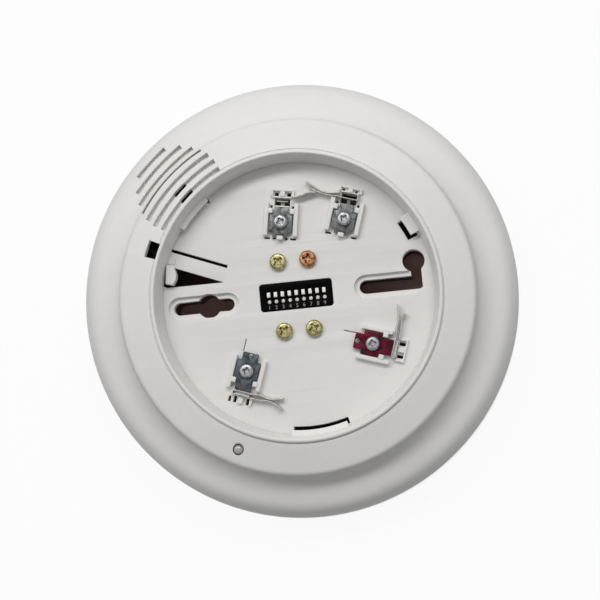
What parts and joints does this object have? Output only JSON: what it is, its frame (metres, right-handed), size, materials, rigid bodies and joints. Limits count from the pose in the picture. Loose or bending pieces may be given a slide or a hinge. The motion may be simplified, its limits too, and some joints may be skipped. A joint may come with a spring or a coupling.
{
  "type": "detector sounder mounting base",
  "caption": "Round ceiling mounting base for a heat detector: stepped housing with a well, a terminal deck with spring contacts, an address switch, a lock arm and a grilled sounder.",
  "frame": {"origin": "centre of the ring's axis on the face that goes against the ceiling", "axes": "+Z along the ring's axis out of the well, +X along the row of switches and the two mounting slots, the wire hole on +X"},
  "size_m": [0.16, 0.16, 0.034],
  "materials": {
    "housing_plastic": "moulded, satin off-white",
    "deck_plastic": "moulded, fine satin off-white",
    "inner_plastic": "moulded, dark brown-grey, plain",
    "black_plastic": "satin black",
    "slider_plastic": "white, satin",
    "yellow_zinc": "yellow passivated zinc on steel",
    "screw_steel": "bright zinc",
    "spring_metal": "rolled, bright",
    "clamp_grey": "dull tinned",
    "clamp_red": "dark red coat",
    "board_green": "solder mask",
    "clear_lens": "clear moulded",
    "piezo_brass": "rolled",
    "foam": "closed-cell foam"
  },
  "bodies": {
    "base": {"front_housing": "housing_plastic", "rear_cover": "inner_plastic", "sound_duct": "foam", "status_led": "clear_lens", "light_pipe": "clear_lens", "cover_screw_1": "yellow_zinc", "cover_screw_2": "yellow_zinc", "cover_screw_3": "yellow_zinc", "sounder_case": "black_plastic", "sounder_disc": "piezo_brass", "sounder_gasket": "foam", "terminal_deck": "deck_plastic", "circuit_board": "board_green", "address_switch_body": "black_plastic", "relay": "black_plastic", "filter_capacitor": "black_plastic", "microcontroller": "black_plastic", "boost_coil": "foam", "sounder_connector": "inner_plastic", "board_screw_1": "yellow_zinc", "contact_1": "spring_metal", "board_screw_2": "yellow_zinc", "contact_2": "spring_metal", "board_screw_3": "yellow_zinc", "contact_3": "spring_metal", "board_screw_4": "yellow_zinc", "contact_4": "spring_metal"},
    "slider_1": {"switch_slider_1": "slider_plastic"},
    "slider_2": {"switch_slider_2": "slider_plastic"},
    "slider_3": {"switch_slider_3": "slider_plastic"},
    "slider_4": {"switch_slider_4": "slider_plastic"},
    "slider_5": {"switch_slider_5": "slider_plastic"},
    "slider_6": {"switch_slider_6": "slider_plastic"},
    "slider_7": {"switch_slider_7": "slider_plastic"},
    "slider_8": {"switch_slider_8": "slider_plastic"},
    "slider_9": {"switch_slider_9": "slider_plastic"},
    "clamp_1": {"clamp_plate_1": "clamp_grey"},
    "screw_1": {"terminal_screw_1": "screw_steel"},
    "leaf_1": {"contact_leaf_1": "spring_metal"},
    "clamp_2": {"clamp_plate_2": "clamp_grey"},
    "screw_2": {"terminal_screw_2": "screw_steel"},
    "leaf_2": {"contact_leaf_2": "spring_metal"},
    "clamp_3": {"clamp_plate_3": "clamp_red"},
    "screw_3": {"terminal_screw_3": "screw_steel"},
    "leaf_3": {"contact_leaf_3": "spring_metal"},
    "clamp_4": {"clamp_plate_4": "clamp_grey"},
    "screw_4": {"terminal_screw_4": "screw_steel"},
    "leaf_4": {"contact_leaf_4": "spring_metal"},
    "arm": {"lock_arm": "deck_plastic"}
  },
  "joints": [
    {"name": "switch_slide_1", "type": "slide", "parent": "base", "child": "slider_1", "axis": [0, -1, 0], "range_m": [0, 0.0024]},
    {"name": "switch_slide_2", "type": "slide", "parent": "base", "child": "slider_2", "axis": [0, -1, 0], "range_m": [0, 0.0024]},
    {"name": "switch_slide_3", "type": "slide", "parent": "base", "child": "slider_3", "axis": [0, -1, 0], "range_m": [0, 0.0024]},
    {"name": "switch_slide_4", "type": "slide", "parent": "base", "child": "slider_4", "axis": [0, -1, 0], "range_m": [0, 0.0024]},
    {"name": "switch_slide_5", "type": "slide", "parent": "base", "child": "slider_5", "axis": [0, -1, 0], "range_m": [0, 0.0024]},
    {"name": "switch_slide_6", "type": "slide", "parent": "base", "child": "slider_6", "axis": [0, -1, 0], "range_m": [0, 0.0024]},
    {"name": "switch_slide_7", "type": "slide", "parent": "base", "child": "slider_7", "axis": [0, -1, 0], "range_m": [0, 0.0024]},
    {"name": "switch_slide_8", "type": "slide", "parent": "base", "child": "slider_8", "axis": [0, -1, 0], "range_m": [0, 0.0024]},
    {"name": "switch_slide_9", "type": "slide", "parent": "base", "child": "slider_9", "axis": [0, -1, 0], "range_m": [0, 0.0024]},
    {"name": "clamp_lift_1", "type": "slide", "parent": "base", "child": "clamp_1", "axis": [0, 0, 1], "range_m": [0, 0.002]},
    {"name": "screw_turn_1", "type": "hinge", "parent": "clamp_1", "child": "screw_1", "pos_m": [-0.0037, 0.028, 0.025], "axis": [0, 0, 1], "range_deg": [0, 900]},
    {"name": "leaf_flex_1", "type": "hinge", "parent": "base", "child": "leaf_1", "pos_m": [0.00074, 0.03656, 0.025], "axis": [0, 0, 1], "range_deg": [0, 3], "stiffness_Nm_per_rad": 0.05},
    {"name": "clamp_lift_2", "type": "slide", "parent": "base", "child": "clamp_2", "axis": [0, 0, 1], "range_m": [0, 0.002]},
    {"name": "screw_turn_2", "type": "hinge", "parent": "clamp_2", "child": "screw_2", "pos_m": [0.0194, 0.0267, 0.025], "axis": [0, 0, 1], "range_deg": [0, 900]},
    {"name": "leaf_flex_2", "type": "hinge", "parent": "base", "child": "leaf_2", "pos_m": [0.0189, 0.03648, 0.025], "axis": [0, 0, -1], "range_deg": [0, 3], "stiffness_Nm_per_rad": 0.05},
    {"name": "clamp_lift_3", "type": "slide", "parent": "base", "child": "clamp_3", "axis": [0, 0, 1], "range_m": [0, 0.002]},
    {"name": "screw_turn_3", "type": "hinge", "parent": "clamp_3", "child": "screw_3", "pos_m": [0.0254, -0.0195, 0.025], "axis": [0, 0, 1], "range_deg": [0, 900]},
    {"name": "leaf_flex_3", "type": "hinge", "parent": "base", "child": "leaf_3", "pos_m": [0.03518, -0.019, 0.025], "axis": [0, 0, -1], "range_deg": [0, 3], "stiffness_Nm_per_rad": 0.05},
    {"name": "clamp_lift_4", "type": "slide", "parent": "base", "child": "clamp_4", "axis": [0, 0, 1], "range_m": [0, 0.002]},
    {"name": "screw_turn_4", "type": "hinge", "parent": "clamp_4", "child": "screw_4", "pos_m": [-0.021, -0.0249, 0.025], "axis": [0, 0, 1], "range_deg": [0, 900]},
    {"name": "leaf_flex_4", "type": "hinge", "parent": "base", "child": "leaf_4", "pos_m": [-0.02067, -0.03469, 0.025], "axis": [0, 0, -1], "range_deg": [0, 3], "stiffness_Nm_per_rad": 0.05},
    {"name": "lock_arm_flex", "type": "hinge", "parent": "base", "child": "arm", "pos_m": [-0.026, 0.01095, 0.0215], "axis": [-0.3714, -0.9285, 0], "range_deg": [0, 5], "stiffness_Nm_per_rad": 0.3}
  ],
  "couplings": [
    {"joint": "screw_turn_1", "follows": "clamp_lift_1", "rad_per_m": 7853.9},
    {"joint": "screw_turn_2", "follows": "clamp_lift_2", "rad_per_m": 7853.9},
    {"joint": "screw_turn_3", "follows": "clamp_lift_3", "rad_per_m": 7853.9},
    {"joint": "screw_turn_4", "follows": "clamp_lift_4", "rad_per_m": 7853.9}
  ]
}
